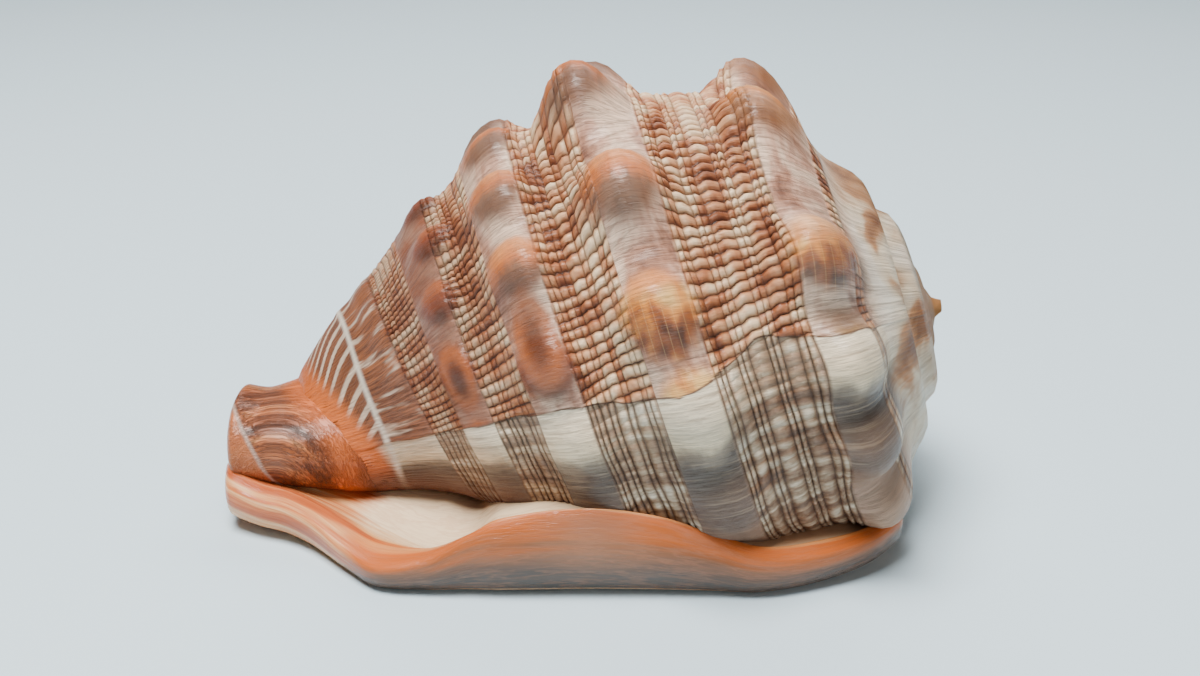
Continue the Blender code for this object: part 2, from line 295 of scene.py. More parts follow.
# %% Values of the fine relief
# Places of the grooves between the cords
GROOVES = (
    16.5, 17.7, 19.0, 29.8, 31.0, 32.4, 36.0, 37.2, 38.4, 42.6, 43.8, 45.0, 48.0, 49.0, 50.0,
    62.8, 64.0, 65.1, 67.8, 68.9, 71.6, 72.7, 74.4, 75.5, 76.5,
    87.6, 88.7, 89.8, 91.9, 93.0, 94.1, 95.9, 97.0, 104.8, 106.0, 107.3, 108.6, 109.9, 111.2, 112.4,
)
# Beaded bands: where they start and end, and how strong they are
BANDS = ((29.8, 50.0, 1.0), (62.8, 76.5, 0.95), (87.6, 97.0, 0.7), (104.8, 112.4, 0.5), (16.5, 19.0, 0.4))
RIB_SPACING = 2.5
RIB_SLANT = 0.18
RIB_ARCH = 0.10
RIB_HEIGHT = 1.05
CORD_HEIGHT = 0.75
RIDGE_ROWS = ((60.0, 127.0), (92.0, 124.2), (105.0, 123.2), (135.0, 122.0), (173.0, 120.4), (330.0, 119.0))
PAUSE_ROWS = ((0.0, 108.0), (21.5, 110.0), (29.8, 111.0), (39.6, 113.0), (47.9, 109.0), (55.9, 106.0),
              (71.8, 107.0), (88.6, 108.0), (143.0, 106.0))


# %% Fine relief
def wander(turn, place, seed):
    """A slow smooth wobble, so that nothing on the shell is quite regular."""
    slow = np.sin(0.083 * turn + 0.21 * place + seed) + np.sin(0.171 * turn - 0.13 * place + 2.3 * seed)
    return 0.5 * slow + 0.3 * np.sin(0.47 * turn + 0.37 * place + 4.1 * seed)


def counts(turn, place):
    """Running counts of riblets and cords, and the strength of the beaded band."""
    cord = np.interp(place + 0.25 * wander(turn, place, 1.7), GROOVES, np.arange(len(GROOVES)))
    band = np.zeros_like(turn)
    for start, end, strength in BANDS:
        inside = smooth_step(start - 0.6, start + 0.5, place)
        inside *= 1.0 - smooth_step(end - 0.5, end + 0.6, place)
        band = np.maximum(band, strength * inside)
    arch = np.sin(np.pi * cord) ** 2 * np.interp(cord, np.arange(len(GROOVES) - 1) + 0.5, np.diff(GROOVES))
    rib = turn + RIB_SLANT * (place - 39.0) - RIB_ARCH * arch * band + 0.9 * wander(turn, place, 0.4)
    return rib / RIB_SPACING, cord, band


def since_pause(turn, place):
    """Degrees of growth since the pause, which left a line across the whorl."""
    return turn - curve_through(PAUSE_ROWS, place) + 0.5 * wander(4.0 * turn, 3.0 * place, 5.0)


def fine_relief(turn, place, top):
    """Height of beads, cords, growth ripples and ridges."""
    rib, cord, band = counts(turn, place)
    after = since_pause(turn, place)
    old = smooth_step(-3.0, 4.0, after)
    rib_crest = np.abs(np.sin(np.pi * rib)) ** 0.7
    cord_crest = np.abs(np.sin(np.pi * cord)) ** 0.8
    relief = band * RIB_HEIGHT * (0.3 + 0.7 * old) * (rib_crest - 0.75)
    relief += band * CORD_HEIGHT * (1.3 - 0.3 * old) * (cord_crest - 0.75)
    ripple = np.sin(2.0 * np.pi * rib * 1.37 + 1.3 * np.sin(0.31 * turn))
    relief += 0.07 * (1.0 - band) * (1.0 - 0.8 * top) * ripple
    ledge = smooth_step(-0.3, 0.3, after) - 0.6 * smooth_step(0.0, 5.0, after)
    relief += 0.35 * ledge
    ridge = place - curve_through(RIDGE_ROWS, turn)
    relief += 0.55 * np.exp(-((ridge / 0.75) ** 2))
    return relief


print("cords:", len(GROOVES) - 1, "riblets per turn:", int(360 / RIB_SPACING))

# %% [markdown]
# ## Body and spire
#
# A sphere already has what a coiled body needs: rings that close on themselves and a pole at each end. So
# one operator makes a fine sphere, and each of its points is moved to its place on the spiral. Rings crowd
# together where the beads are, and columns where the shell is seen; they are few where the lip hides them.

# %% Where rings and columns go
BODY_COLUMNS = 640
BODY_RINGS = 150
FRONT_CUT = (130.5, 138.0, 0.5)
BELLY_LEVEL = 4.0
BELLY_SOFTNESS = 9.0


def spread(start, end, count, density):
    """Count + 1 values from start to end, closer where the density is high."""
    fine = np.linspace(start, end, 4001)
    steps = 0.5 * (density(fine[1:]) + density(fine[:-1])) * np.diff(fine)
    total = np.concatenate(([0.0], np.cumsum(steps)))
    return np.interp(np.linspace(0.0, total[-1], count + 1), total, fine)


def ring_density(place):
    """Rings per millimetre along the axis, before scaling."""
    slope = np.gradient(curve_through(OUTLINE, place), place)
    dense = 1.0 + 0.0 * place
    for start, end, strength in BANDS:
        dense += 2.2 * smooth_step(start - 1.5, start, place) * (1.0 - smooth_step(end, end + 1.5, place))
    dense += 1.2 * np.exp(-(((place - 122.5) / 3.0) ** 2)) + 1.5 * np.exp(-(((place + 2.2) / 1.2) ** 2))
    dense *= 1.0 - 0.6 * smooth_step(133.0, 137.0, place)
    return np.hypot(1.0, np.minimum(np.abs(slope), 3.0)) * dense


def column_density(turn):
    """Columns per degree, before scaling."""
    seen = smooth_step(20.0, 40.0, turn) * (1.0 - smooth_step(296.0, 316.0, turn))
    return 0.08 + seen * (1.0 - 0.22 * smooth_step(205.0, 225.0, turn))


ring_places = spread(OUTLINE[0][0], OUTLINE[-1][0], BODY_RINGS, ring_density)
column_turns = spread(SEAM_TURN - 360.0, SEAM_TURN, BODY_COLUMNS, column_density)
print("closest rings", round(float(np.diff(ring_places).min()), 2), "mm")
print("closest columns", round(float(np.diff(column_turns).min()), 2), "degrees")


# %% A ball whose points can be moved onto a form
def ball(columns, rings):
    """A sphere mesh, with the column and ring number of each of its points."""
    bm = bmesh.new()
    bmesh.ops.create_uvsphere(bm, u_segments=columns, v_segments=rings, radius=1.0)
    mesh = bpy.data.meshes.new("ball")
    bm.to_mesh(mesh)
    bm.free()
    points = np.zeros(len(mesh.vertices) * 3)
    mesh.vertices.foreach_get("co", points)
    points = points.reshape(-1, 3)
    ring = np.rint(np.arccos(np.clip(points[:, 2], -1.0, 1.0)) / np.pi * rings).astype(int)
    column = np.rint(np.arctan2(points[:, 1], points[:, 0]) / (2.0 * np.pi) * columns).astype(int) % columns
    return mesh, column, ring


def set_points(mesh, points):
    """Moves a mesh's points to places in millimetres, and turns its faces outwards."""
    mesh.vertices.foreach_set("co", ((points - MIDDLE) * MM).ravel())
    bm = bmesh.new()
    bm.from_mesh(mesh)
    bmesh.ops.recalc_face_normals(bm, faces=bm.faces)
    if bm.calc_volume(signed=True) < 0.0:
        bmesh.ops.reverse_faces(bm, faces=bm.faces)
    bm.to_mesh(mesh)
    bm.free()
    mesh.shade_smooth()


def keep(mesh, name, values):
    """Stores one number per point as an attribute, for the material to read."""
    attribute = mesh.attributes.new(name, "FLOAT", "POINT")
    attribute.data.foreach_set("value", np.asarray(values, np.float32))


# %% Body
def body_points(turn, place):
    """Points of the body's outside, with all its relief."""
    radius = curve_through(OUTLINE, place)
    rise, lean, top, side = knob_field(turn, place)
    lean = lean + spire_relief(turn, place, radius)
    tip = smooth_step(0.0, 6.0, radius)
    size = growth(turn)
    size = size + (1.0 - size) * smooth_step(FRONT_START, OUTLINE[-1][0], place)
    start, end, depth = FRONT_CUT
    radius = radius * (1.0 - depth * smooth_step(start, end, place))
    out = radius + rise + fine_relief(turn, place, top) * tip
    angle = np.radians(turn)
    outwards = -np.cos(angle)[:, None] * ACROSS + np.sin(angle)[:, None] * NEAR
    points = APEX + size[:, None] * ((lean - place)[:, None] * AXIS + out[:, None] * outwards)
    low = points[:, 2] < BELLY_LEVEL + BELLY_SOFTNESS
    sunk = (points[low, 2] - BELLY_LEVEL - BELLY_SOFTNESS) / BELLY_SOFTNESS
    points[low, 2] = BELLY_LEVEL + BELLY_SOFTNESS * np.exp(sunk)
    return points


body_mesh, column, ring = ball(BODY_COLUMNS, BODY_RINGS)
turn = column_turns[column]
place = ring_places[ring]
set_points(body_mesh, body_points(turn, place))
rib, cord, band = counts(turn, place)
rise, lean, top, side = knob_field(turn, place)
for name, values in (
    ("turn", turn), ("place", place), ("rib", rib), ("cord", cord), ("band", band),
    ("knob", top), ("side", side), ("after", since_pause(turn, place)),
    ("ridge", place - curve_through(RIDGE_ROWS, turn)),
):
    keep(body_mesh, name, values)
body = link(bpy.data.objects.new("shell_body", body_mesh))
print("body:", len(body_mesh.polygons), "faces")

# %% [markdown]
# ## Shield and lip
#
# When the snail is full-grown it thickens the edge of its mouth into a heavy glossy shield. Its section
# changes along the shell, so it is drawn as a row of sections: a ball's rings become the sections, and its
# poles close the two ends with a rounded cap.

# %% Values of the shield
# Along the shell: x, near rim y and z, crease y and z, far rim y and z, near and far rim thickness
PLATE_STATIONS = (
    (-73.0, -22.0, 3.2, -14.0, 12.0, 4.0, 6.5, 8.0, 8.0),
    (-69.0, -25.0, 2.4, -15.0, 11.0, 9.0, 5.5, 8.0, 8.0),
    (-64.0, -27.5, 1.8, -16.0, 9.0, 17.0, 4.5, 7.5, 7.5),
    (-58.0, -30.0, 1.4, -17.0, 7.5, 22.0, 3.0, 7.5, 7.5),
    (-52.0, -34.5, 0.9, -19.0, 6.0, 28.5, 1.8, 7.0, 7.5),
    (-45.0, -42.5, 0.5, -23.0, 4.8, 35.5, 1.0, 6.0, 8.0),
    (-38.0, -49.5, 0.0, -30.0, 4.5, 42.0, 0.0, 6.0, 8.5),
    (-28.0, -51.5, 0.0, -39.0, 4.5, 49.5, 0.0, 8.5, 9.5),
    (-20.0, -52.0, 0.0, -44.0, 7.5, 53.5, 0.0, 13.0, 9.8),
    (-14.0, -52.5, 0.0, -46.0, 13.0, 56.5, 0.0, 15.0, 10.0),
    (2.0, -52.5, 0.0, -47.0, 16.5, 60.5, 0.0, 16.0, 11.0),
    (16.0, -52.5, 0.0, -47.0, 15.0, 61.0, 0.0, 14.5, 11.0),
    (26.0, -52.5, 0.0, -46.5, 11.5, 60.0, 0.0, 11.5, 10.5),
    (36.0, -52.5, 0.0, -45.0, 8.5, 56.0, 0.0, 8.5, 10.0),
    (47.0, -49.0, 0.5, -41.0, 8.0, 48.0, 0.5, 7.5, 9.0),
    (57.0, -44.0, 2.0, -36.0, 8.0, 37.0, 2.5, 7.0, 8.0),
    (63.5, -38.0, 4.2, -30.0, 9.5, 26.0, 4.8, 6.0, 6.4),
    (66.5, -33.0, 6.0, -27.0, 9.5, 18.0, 6.5, 4.2, 4.2),
)
SHOULDER_BY_THICKNESS = 2.5
SHOULDER_BY_WIDTH = 0.32
PLATE_COLUMNS = 120
PLATE_RINGS = 150
END_ROUNDING = 2.6


# %% Section of the shield
def plate_outline(x):
    """Outline of the section at one place along the shell, as points from the near rim over the top."""
    near_y, near_z, crease_y, crease_z, far_y, far_z, near_thick, thick = (
        curve_through(PLATE_STATIONS, x, column) for column in range(1, 9)
    )
    middle = 0.45 * near_y + 0.55 * far_y
    roof = crease_z + 0.25 * thick - np.maximum(near_thick - thick, 0.0)
    sole = 0.5 * (near_z + far_z) + 0.2 * thick
    shoulder = far_z + np.minimum(SHOULDER_BY_THICKNESS * thick, SHOULDER_BY_WIDTH * (far_y - crease_y))
    outline = (
        (near_y + 0.20 * thick, near_z + 0.10 * near_thick),
        (near_y, near_z + 0.50 * near_thick),
        (near_y + 0.10 * near_thick, near_z + 0.90 * near_thick),
        (0.5 * (near_y + crease_y), 0.5 * (near_z + crease_z) + 0.60 * near_thick),
        (crease_y, crease_z),
        (0.5 * (crease_y + middle), roof),
        (middle, roof),
        (0.5 * (far_y + middle), shoulder),
        (np.maximum(0.3 * middle + 0.7 * far_y, far_y - 0.90 * thick),
         np.minimum(0.98 * shoulder, far_z + 1.40 * thick)),
        (far_y - 0.25 * thick, np.minimum(0.92 * shoulder, far_z + 1.05 * thick)),
        (far_y, far_z + 0.55 * thick),
        (far_y - 0.20 * thick, far_z + 0.12 * thick),
        (far_y - 0.60 * thick, far_z),
        (np.minimum(0.35 * middle + 0.65 * far_y, far_y - thick), far_z),
        (0.80 * middle + 0.20 * far_y, sole),
        (0.80 * middle + 0.20 * near_y, sole),
        (np.maximum(0.35 * middle + 0.65 * near_y, near_y + thick), near_z),
        (near_y + 0.60 * thick, near_z),
    )
    return np.array([(y, z) for y, z in outline]).transpose(2, 0, 1)


def round_outline(corners, share):
    """Points on a closed smooth curve through each outline's corners, at shares of the way round."""
    count = corners.shape[1]
    at = share * count
    i = np.floor(at).astype(int)
    s = (at - i)[:, None]
    rows = np.arange(len(share))
    a, b, c, d = (corners[rows, (i + k) % count] for k in (-1, 0, 1, 2))
    leave = 0.5 * (c - a) * 0.8
    arrive = 0.5 * (d - b) * 0.8
    curve = b + (c - b) * s * s * (3.0 - 2.0 * s)
    return curve + leave * s * (1.0 - s) ** 2 - arrive * s * s * (1.0 - s)


# %% Shield
plate_mesh, column, ring = ball(PLATE_COLUMNS, PLATE_RINGS)
start_x = PLATE_STATIONS[0][0]
end_x = PLATE_STATIONS[-1][0]
ends = np.sin(np.linspace(0.0, np.pi, PLATE_RINGS + 1) - 0.5 * np.pi)
ring_x = 0.5 * (start_x + end_x) + 0.5 * (end_x - start_x) * (
    0.35 * ends + 0.65 * np.linspace(-1.0, 1.0, PLATE_RINGS + 1)
)
x = ring_x[ring]
share = column / PLATE_COLUMNS
corners = plate_outline(x)
section = round_outline(corners, share)
centre = corners.mean(axis=1)
to_end = np.minimum(x - start_x, end_x - x)
fullness = np.sqrt(np.clip(1.0 - (1.0 - np.clip(to_end / END_ROUNDING, 0.0, 1.0)) ** 2, 0.0, 1.0))
section = centre + (section - centre) * fullness[:, None]
section[:, 1] = np.maximum(section[:, 1], 0.0)
set_points(plate_mesh, np.column_stack((x, section)))
keep(plate_mesh, "round", share * corners.shape[1])
slit_y = np.interp(x, (-73.0, -44.0, -10.0, 26.0, 50.0, 66.5), (-3.6, 2.5, 9.5, 11.5, 9.0, 5.0))
slit_distance = np.abs(section[:, 0] - slit_y) - 5.0 + 3.0 * np.maximum(section[:, 1] - 6.0, 0.0)
keep(plate_mesh, "slit", slit_distance + np.maximum(x - 42.0, 0.0))
plate = link(bpy.data.objects.new("shield_and_lip", plate_mesh))
print("shield:", len(plate_mesh.polygons), "faces")

# %% [markdown]
# ## Canal
#
# At the narrow end the mouth runs out into a short canal that bends upwards, and the outside of its earlier
# stages shows as a bulging fold with strong growth lines. It is another ball on a row of sections.

# %% Canal
# Along the middle line of the canal: x, y, z, half width, half height
CANAL_STATIONS = (
    (-72.4, -7.0, 14.8, 13.6, 7.1),
    (-68.0, -6.5, 14.5, 14.5, 7.8),
    (-61.0, -6.0, 14.3, 16.0, 8.8),
    (-53.0, -6.0, 13.8, 16.2, 8.8),
    (-45.0, -6.0, 12.5, 14.5, 7.5),
    (-37.0, -6.0, 11.0, 12.0, 5.5),
)
CANAL_SQUARENESS = 0.85
CORNER_START = -65.0
CORNER_LIFT = 2.6
CANAL_COLUMNS = 110
CANAL_RINGS = 90

canal_mesh, column, ring = ball(CANAL_COLUMNS, CANAL_RINGS)
start_x = CANAL_STATIONS[0][0]
end_x = CANAL_STATIONS[-1][0]
x = 0.5 * (start_x + end_x) + 0.5 * (end_x - start_x) * np.sin(ring / CANAL_RINGS * np.pi - 0.5 * np.pi)
middle_y, middle_z, half_width, half_height = (curve_through(CANAL_STATIONS, x, c) for c in (1, 2, 3, 4))
to_end = np.minimum(x - start_x, end_x - x)
fullness = np.sqrt(np.clip(1.0 - (1.0 - np.clip(to_end / END_ROUNDING, 0.0, 1.0)) ** 2, 0.0, 1.0))
angle = 2.0 * np.pi * column / CANAL_COLUMNS
over = np.sign(np.cos(angle)) * np.abs(np.cos(angle)) ** CANAL_SQUARENESS
up = np.sign(np.sin(angle)) * np.abs(np.sin(angle)) ** CANAL_SQUARENESS
corner = CORNER_LIFT * smooth_step(CORNER_START, start_x, x) * np.maximum(up, 0.0) ** 2
set_points(canal_mesh, np.column_stack((
    x, middle_y + half_width * over * fullness, middle_z + (half_height * up + corner) * fullness
)))
keep(canal_mesh, "round", np.degrees(angle))
canal = link(bpy.data.objects.new("siphonal_canal", canal_mesh))
print("canal:", len(canal_mesh.polygons), "faces")

# %% [markdown]
# ## Soft join of body and canal
#
# Two solids that cross meet in a hard line, but here the shell runs from one form into the other through a
# hollow. So both surfaces are lifted a little where they come close. How close they are is also kept as an
# attribute, because the hollow is glazed orange.

# %% Soft join
JOIN_REACH = 7.0
JOIN_LIFT = 1.5
FAR_GAP = 9.0


def gap_to(mesh, other_mesh):
    """How far each point of a mesh is outside another mesh, in millimetres."""
    bm = bmesh.new()
    bm.from_mesh(other_mesh)
    nearest = BVHTree.FromBMesh(bm)
    bm.free()
    gaps = np.full(len(mesh.vertices), FAR_GAP)
    for vertex in mesh.vertices:
        spot, normal, index, distance = nearest.find_nearest(vertex.co, FAR_GAP * MM)
        if spot is not None:
            side = 1.0 if (vertex.co - spot).dot(normal) > 0.0 else -1.0
            gaps[vertex.index] = side * distance / MM
    return gaps


def lift_near(mesh, gaps):
    """Raises a mesh's points near the join along their normals."""
    points = np.zeros(len(mesh.vertices) * 3)
    normals = np.zeros(len(mesh.vertices) * 3)
    mesh.vertices.foreach_get("co", points)
    mesh.vertex_normals.foreach_get("vector", normals)
    lift = JOIN_LIFT * np.clip(1.0 - np.maximum(gaps, 0.0) / JOIN_REACH, 0.0, 1.0) ** 2
    lift *= smooth_step(-FAR_GAP, -0.5 * FAR_GAP, gaps)
    points += MM * np.repeat(lift, 3) * normals
    mesh.vertices.foreach_set("co", points)
    mesh.update()


body_gap = gap_to(body_mesh, canal_mesh)
canal_gap = gap_to(canal_mesh, body_mesh)
lift_near(body_mesh, body_gap)
lift_near(canal_mesh, canal_gap)
keep(body_mesh, "join", body_gap)
keep(canal_mesh, "join", canal_gap)
print("points in the join:", int((body_gap < JOIN_REACH).sum()), int((canal_gap < JOIN_REACH).sum()))

# %% [markdown]
# ## Mouth
#
# The mouth is a long narrow slit between shield and lip, with the hollow of the last whorl behind it. A
# Boolean modifier takes it out of body, shield and canal. The cutter grows by a little for each of them,
# so that no two walls lie in the same place.

# %% Mouth
# Along the shell: x, middle y, half width of the slit, height of the hollow above it
MOUTH_STATIONS = (
    (-80.0, -5.0, 2.6, 10.0), (-68.0, -3.0, 3.2, 11.0), (-56.0, -0.5, 3.8, 14.0), (-44.0, 2.5, 4.6, 19.0),
    (-28.0, 7.0, 5.6, 28.0), (-10.0, 9.5, 6.0, 34.0), (8.0, 11.0, 6.0, 35.0), (26.0, 11.5, 5.5, 30.0),
    (41.0, 11.0, 4.5, 20.0), (50.0, 9.0, 3.0, 11.0),
)
HOLLOW_HEIGHT = 35.0
HOLLOW_LEAN = 8.0
HOLLOW_HALF_WIDTH = 12.0
SLIT_BELOW = 3.0
SLIT_FLARE = 2.0
SLIT_MIDDLE = 4.0
SLIT_TOP = 9.0
MOUTH_COLUMNS = 44
MOUTH_RINGS = 64
CRUMB_FACES = 50


def mouth_outline(x):
    """Section of the slit and of the hollow above it."""
    middle, half_width, height = (curve_through(MOUTH_STATIONS, x, column) for column in (1, 2, 3))
    swell = HOLLOW_HALF_WIDTH * height / HOLLOW_HEIGHT
    lean = HOLLOW_LEAN * height / HOLLOW_HEIGHT
    flat = 0.0 * x
    outline = (
        (middle - half_width - SLIT_FLARE, flat - SLIT_BELOW),
        (middle + half_width + SLIT_FLARE, flat - SLIT_BELOW),
        (middle + half_width, flat + SLIT_MIDDLE),
        (middle + half_width + 0.5 * SLIT_FLARE, flat + SLIT_TOP),
        (middle + lean + 0.8 * swell, SLIT_TOP + 0.3 * height),
        (middle + lean + swell, SLIT_TOP + 0.6 * height),
        (middle + lean + 0.5 * swell, SLIT_TOP + 0.9 * height),
        (middle + lean - 0.5 * swell, SLIT_TOP + 0.9 * height),
        (middle + 0.5 * lean - 0.8 * swell, SLIT_TOP + 0.6 * height),
        (middle - half_width, SLIT_TOP + 0.2 * height),
        (middle - half_width, flat + SLIT_MIDDLE),
    )
    return np.array([(y, z) for y, z in outline]).transpose(2, 0, 1)


def mouth_cutter(grow):
    """A ball on the sections of the mouth, grown by some millimetres."""
    mesh, column, ring = ball(MOUTH_COLUMNS, MOUTH_RINGS)
    first = MOUTH_STATIONS[0][0]
    last = MOUTH_STATIONS[-1][0] + grow
    x = first + (last - first) * (ring / MOUTH_RINGS)
    corners = mouth_outline(np.clip(x, first, MOUTH_STATIONS[-1][0]))
    section = round_outline(corners, column / MOUTH_COLUMNS)
    centre = corners.mean(axis=1)
    away = section - centre
    length = np.maximum(np.linalg.norm(away, axis=1), 1e-6)[:, None]
    to_end = np.clip((last - x) / 3.0, 0.0, 1.0) * np.clip((x - first) / 1.0, 0.0, 1.0)
    section = centre + away * (1.0 + grow / length) * np.sqrt(to_end)[:, None]
    set_points(mesh, np.column_stack((x, section)))
    return link(bpy.data.objects.new("mouth_cutter", mesh))


def drop_crumbs(mesh):
    """Takes out the tiny loose bits that a cut leaves where two walls nearly touch."""
    bm = bmesh.new()
    bm.from_mesh(mesh)
    seen = set()
    crumbs = []
    for start in bm.faces:
        if start.index in seen:
            continue
        seen.add(start.index)
        island = [start]
        for face in island:
            for edge in face.edges:
                for other in edge.link_faces:
                    if other.index not in seen:
                        seen.add(other.index)
                        island.append(other)
        if len(island) < CRUMB_FACES:
            crumbs += island
    bmesh.ops.delete(bm, geom=crumbs, context="FACES")
    bm.to_mesh(mesh)
    bm.free()
    return len(crumbs)


def cut_mouth(obj, grow, wall_material):
    """Takes the mouth out of an object for good; the new walls take the cutter's material."""
    cutter = mouth_cutter(grow)
    cutter.data.materials.append(wall_material)
    obj.data.materials.append(wall_material)
    modifier = obj.modifiers.new("mouth", "BOOLEAN")
    modifier.operation = "DIFFERENCE"
    modifier.solver = "MANIFOLD"
    modifier.material_mode = "TRANSFER"
    modifier.object = cutter
    depsgraph = bpy.context.evaluated_depsgraph_get()
    cut = bpy.data.meshes.new_from_object(obj.evaluated_get(depsgraph))
    obj.modifiers.clear()
    obj.data = cut
    bpy.data.objects.remove(cutter)
    dropped = drop_crumbs(cut)
    print(obj.name, "after the mouth:", len(cut.polygons), "faces, without", dropped, "loose ones")


print("mouth from x", MOUTH_STATIONS[0][0], "to", MOUTH_STATIONS[-1][0], "mm")

# %% [markdown]
# ## Teeth
#
# Strong white teeth stand along the lip, and finer folds along the shield. Each is a small ball, stretched
# by a matrix so that it bites a little way into the slit.

# %% Teeth
# Side of the slit, count, half thickness, half reach, half height
TOOTH_ROWS = ((1.0, 21, 1.6, 4.4, 3.6), (-1.0, 19, 1.3, 6.5, 3.0))
TEETH_START = -50.0
TEETH_END = 38.0
TOOTH_BITE = 1.5
TOOTH_MIDDLE_HEIGHT = 3.6

teeth_bm = bmesh.new()
for tooth_side, count, half_thickness, half_reach, half_height in TOOTH_ROWS:
    for i in range(count):
        x = TEETH_START + (TEETH_END - TEETH_START) * (i + 0.5) / count
        middle = float(curve_through(MOUTH_STATIONS, x, 1))
        half_width = float(curve_through(MOUTH_STATIONS, x, 2))
        y = middle + tooth_side * (half_width + half_reach - TOOTH_BITE)
        spot = Matrix.Translation(Vector((x, y, TOOTH_MIDDLE_HEIGHT)) - Vector(MIDDLE))
        stretch = Matrix.Diagonal((half_thickness, half_reach, half_height, 1.0))
        bmesh.ops.create_uvsphere(
            teeth_bm, u_segments=16, v_segments=10, radius=1.0, matrix=Matrix.Scale(MM, 4) @ spot @ stretch
        )
teeth_mesh = bpy.data.meshes.new("teeth")
teeth_bm.to_mesh(teeth_mesh)
teeth_bm.free()
teeth_mesh.shade_smooth()
teeth = link(bpy.data.objects.new("teeth", teeth_mesh))
print("teeth:", sum(row[1] for row in TOOTH_ROWS))

# %% [markdown]
# ## Node helpers
#
# A material is a small network of nodes: numbers come in on the left, are bent into masks and colours, and
# end in the shader. A few helpers keep that network readable here: one adds a node, one does arithmetic,
# one makes a soft step, one runs a number through a row of colours and one lays a colour over another.


# %% Node helpers
def put(tree, kind, inputs=None, **settings):
    """Adds a node; its inputs are given as values or as the outputs of other nodes."""
    node = tree.nodes.new("ShaderNode" + kind)
    for name, value in settings.items():
        setattr(node, name, value)
    for name, value in (inputs or {}).items():
        if isinstance(value, bpy.types.NodeSocket):
            tree.links.new(value, node.inputs[name])
        else:
            node.inputs[name].default_value = value
    return node


def calc(tree, operation, *values):
    """A number worked out from others."""
    return put(tree, "Math", dict(enumerate(values)), operation=operation).outputs[0]


def times(tree, first, second):
    """The product of two numbers."""
    return calc(tree, "MULTIPLY", first, second)


def times_plus(tree, first, second, third):
    """The product of two numbers, plus a third."""
    return calc(tree, "MULTIPLY_ADD", first, second, third)


def less(tree, first, second):
    """The first number less the second."""
    return calc(tree, "SUBTRACT", first, second)


def step(tree, value, low, high):
    """Zero at low, one at high, with a soft step between them; low may be the larger one."""
    inputs = {"Value": value, "From Min": low, "From Max": high}
    return put(tree, "MapRange", inputs, interpolation_type="SMOOTHSTEP").outputs["Result"]


def near(tree, value, centre, width):
    """One at the centre, falling to zero at the width from it."""
    return step(tree, calc(tree, "ABSOLUTE", less(tree, value, centre)), width, 0.0)


def colours(tree, value, stops):
    """A number turned into a colour through a row of stops."""
    node = put(tree, "ValToRGB", {"Fac": value})
    elements = node.color_ramp.elements
    while len(elements) < len(stops):
        elements.new(1.0)
    for element, (position, colour) in zip(elements, stops):
        element.position = position
        element.color = (*colour, 1.0)
    return node.outputs["Color"]


def over(tree, below, above, share, blend="MIX"):
    """One colour laid over another by a share."""
    node = put(tree, "Mix", data_type="RGBA", blend_type=blend, clamp_factor=True)
    for index, value in ((0, share), (6, below), (7, above)):
        if isinstance(value, bpy.types.NodeSocket):
            tree.links.new(value, node.inputs[index])
        elif index:
            node.inputs[index].default_value = (*value, 1.0)
        else:
            node.inputs[index].default_value = value
    return node.outputs[2]


def mark(tree, name):
    """One of the numbers kept on the mesh."""
    return put(tree, "Attribute", attribute_name=name).outputs["Fac"]


def pair(tree, first, second, first_scale=1.0, second_scale=1.0):
    """A flat pattern space made of two numbers."""
    scaled = (times(tree, first, first_scale), times(tree, second, second_scale))
    return put(tree, "CombineXYZ", {"X": scaled[0], "Y": scaled[1]}).outputs[0]


def noise(tree, vector, scale=1.0, detail=3.0, roughness=0.55, distortion=0.0):
    """Cloudy noise between zero and one."""
    inputs = {
        "Vector": vector, "Scale": scale, "Detail": detail, "Roughness": roughness, "Distortion": distortion,
    }
    return put(tree, "TexNoise", inputs).outputs["Fac"]


def new_material(name):
    """An empty node material with its shader."""
    material = bpy.data.materials.new(name)
    material.use_nodes = True
    return material, material.node_tree, material.node_tree.nodes["Principled BSDF"]


# %% [markdown]
# ## Growth lines and pores
#
# Two effects appear on every part of the shell. Growth lines are the fine edges of old mouths, close and
# uneven. Pores and scratches keep the gloss from looking like glass. Each is a node group, built once, with
# its own inputs, and placed in each material with that material's values.


# %% Shared groups
def new_group(name, inputs, outputs):
    """A node group with number inputs, and number or colour outputs."""
    group = bpy.data.node_groups.new(name, "ShaderNodeTree")
    for socket, default in inputs:
        made = group.interface.new_socket(name=socket, in_out="INPUT", socket_type="NodeSocketFloat")
        made.default_value = default
    for socket in outputs:
        group.interface.new_socket(name=socket, in_out="OUTPUT", socket_type="NodeSocketFloat")
    return group, group.nodes.new("NodeGroupInput").outputs, group.nodes.new("NodeGroupOutput").inputs


lines_group, lines_in, lines_out = new_group(
    "growth_lines", (("Along", 0.0), ("Across", 0.0), ("Width", 0.05)), ("Lines", "Ripple")
)
fields = []
masks = []
for along_scale, across_scale, detail, evenness in ((1.0, 0.05, 4.0, 0.6), (3.1, 0.09, 2.0, 0.5)):
    flat = pair(lines_group, lines_in["Along"], lines_in["Across"], along_scale, across_scale)
    fields.append(noise(lines_group, flat, 1.0, detail, evenness))
    distance = calc(lines_group, "ABSOLUTE", less(lines_group, fields[-1], 0.5))
    masks.append(less(lines_group, 1.0, calc(lines_group, "DIVIDE", distance, lines_in["Width"])))
both = calc(lines_group, "MAXIMUM", masks[0], times(lines_group, masks[1], 0.6))
lines_group.links.new(calc(lines_group, "MAXIMUM", both, 0.0), lines_out["Lines"])
lines_group.links.new(times(lines_group, fields[1], fields[0]), lines_out["Ripple"])

